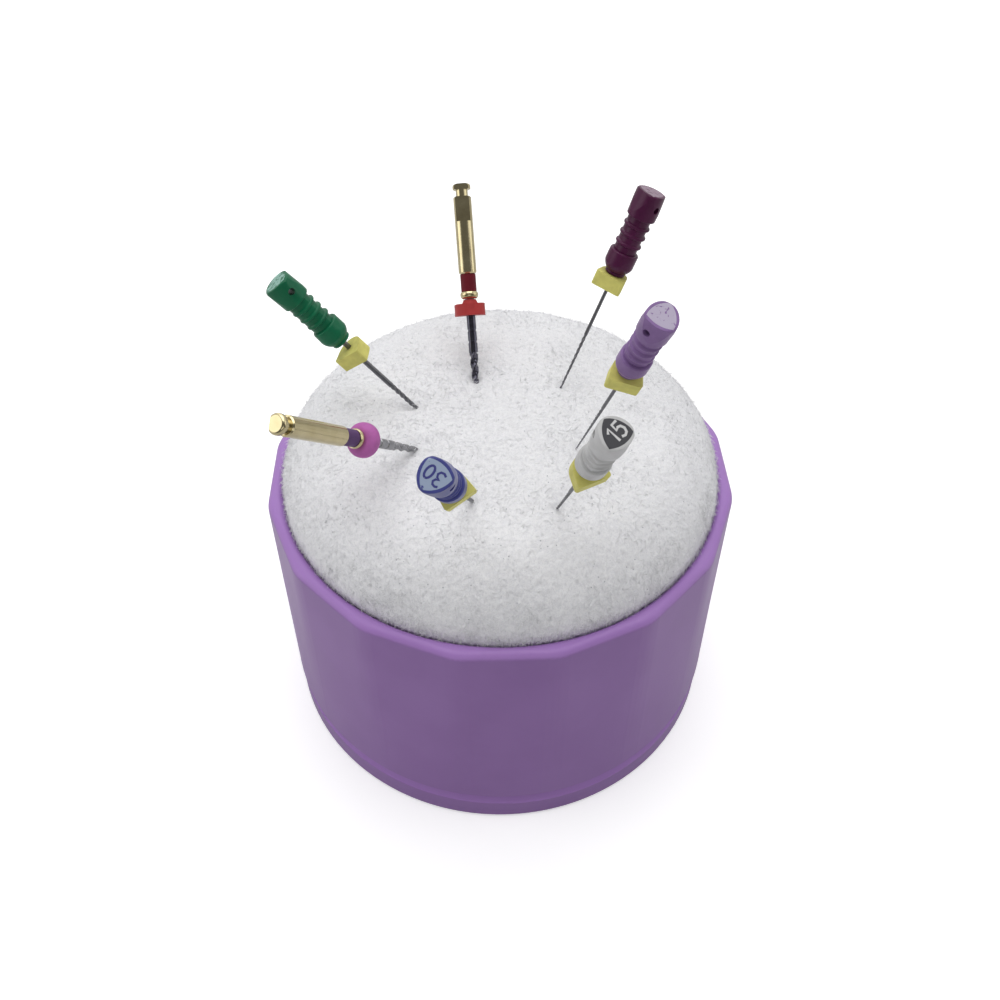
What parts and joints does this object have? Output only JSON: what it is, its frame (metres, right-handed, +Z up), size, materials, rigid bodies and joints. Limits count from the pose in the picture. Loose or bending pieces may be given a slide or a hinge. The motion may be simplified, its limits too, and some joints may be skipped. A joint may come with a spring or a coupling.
{
  "type": "endodontic file stand",
  "caption": "Round cup with a domed foam insert that holds endodontic hand files and latch-shank rotary files at a slant, each with a sliding depth stop.",
  "frame": {"origin": "centre of the cup's underside, in the plane of its foot ring", "axes": "+Z up along the cup's axis, -Y towards the viewer, +X to the right"},
  "size_m": [0.0636, 0.0647, 0.0776],
  "materials": {
    "cup_plastic": "moulded purple plastic, satin to soft gloss",
    "foam": "white open foam with a fuzzy, fibrous skin",
    "green_plastic": "moulded dark green plastic",
    "maroon_plastic": "moulded dark maroon plastic",
    "lavender_plastic": "moulded greyish violet plastic",
    "white_plastic": "moulded grey-white plastic",
    "blue_plastic": "moulded blue-violet plastic",
    "wire_steel": "ground steel wire with a dull satin sheen",
    "yellow_silicone": "matt yellow silicone",
    "gold_plating": "pale gold plated metal, turned",
    "red_band": "dark red colour ring",
    "violet_band": "dull violet colour ring",
    "blade_alloy": "ground alloy, bright on the lands and dull in the flutes",
    "red_silicone": "matt red silicone",
    "magenta_silicone": "matt magenta silicone"
  },
  "bodies": {
    "stand": {"cup": "cup_plastic", "foam_insert": "foam", "green_file_handle": "green_plastic", "green_file_blade": "wire_steel", "maroon_file_handle": "maroon_plastic", "maroon_file_blade": "wire_steel", "lavender_file_handle": "lavender_plastic", "lavender_file_blade": "wire_steel", "white_file_handle": "white_plastic", "white_file_blade": "wire_steel", "blue_file_handle": "blue_plastic", "blue_file_blade": "wire_steel", "red_rotary_shank": "gold_plating", "red_rotary_band": "red_band", "red_rotary_blade": "blade_alloy", "violet_rotary_shank": "gold_plating", "violet_rotary_band": "violet_band", "violet_rotary_blade": "blade_alloy"},
    "green_file_stop": {"green_file_stopper": "yellow_silicone"},
    "maroon_file_stop": {"maroon_file_stopper": "yellow_silicone"},
    "lavender_file_stop": {"lavender_file_stopper": "yellow_silicone"},
    "white_file_stop": {"white_file_stopper": "yellow_silicone"},
    "blue_file_stop": {"blue_file_stopper": "yellow_silicone"},
    "red_rotary_stop": {"red_rotary_stopper": "red_silicone"},
    "violet_rotary_stop": {"violet_rotary_stopper": "magenta_silicone"}
  },
  "joints": [
    {"name": "green_file_stop_slide", "type": "slide", "parent": "stand", "child": "green_file_stop", "axis": [0.6223, -0.0446, -0.7815], "range_m": [-0.0012, 0.0079]},
    {"name": "maroon_file_stop_slide", "type": "slide", "parent": "stand", "child": "maroon_file_stop", "axis": [-0.3554, -0.1772, -0.9178], "range_m": [0, 0.0134]},
    {"name": "lavender_file_stop_slide", "type": "slide", "parent": "stand", "child": "lavender_file_stop", "axis": [-0.1957, 0.3474, -0.9171], "range_m": [0, 0.0165]},
    {"name": "white_file_stop_slide", "type": "slide", "parent": "stand", "child": "white_file_stop", "axis": [-0.1331, 0.455, -0.8805], "range_m": [0, 0.0126]},
    {"name": "blue_file_stop_slide", "type": "slide", "parent": "stand", "child": "blue_file_stop", "axis": [0.1204, 0.608, -0.7848], "range_m": [0, 0.0123]},
    {"name": "red_rotary_stop_slide", "type": "slide", "parent": "stand", "child": "red_rotary_stop", "axis": [0.0538, -0.6405, -0.766], "range_m": [0, 0.0064]},
    {"name": "violet_rotary_stop_slide", "type": "slide", "parent": "stand", "child": "violet_rotary_stop", "axis": [0.4645, 0.5556, -0.6896], "range_m": [0, 0.0078]}
  ]
}
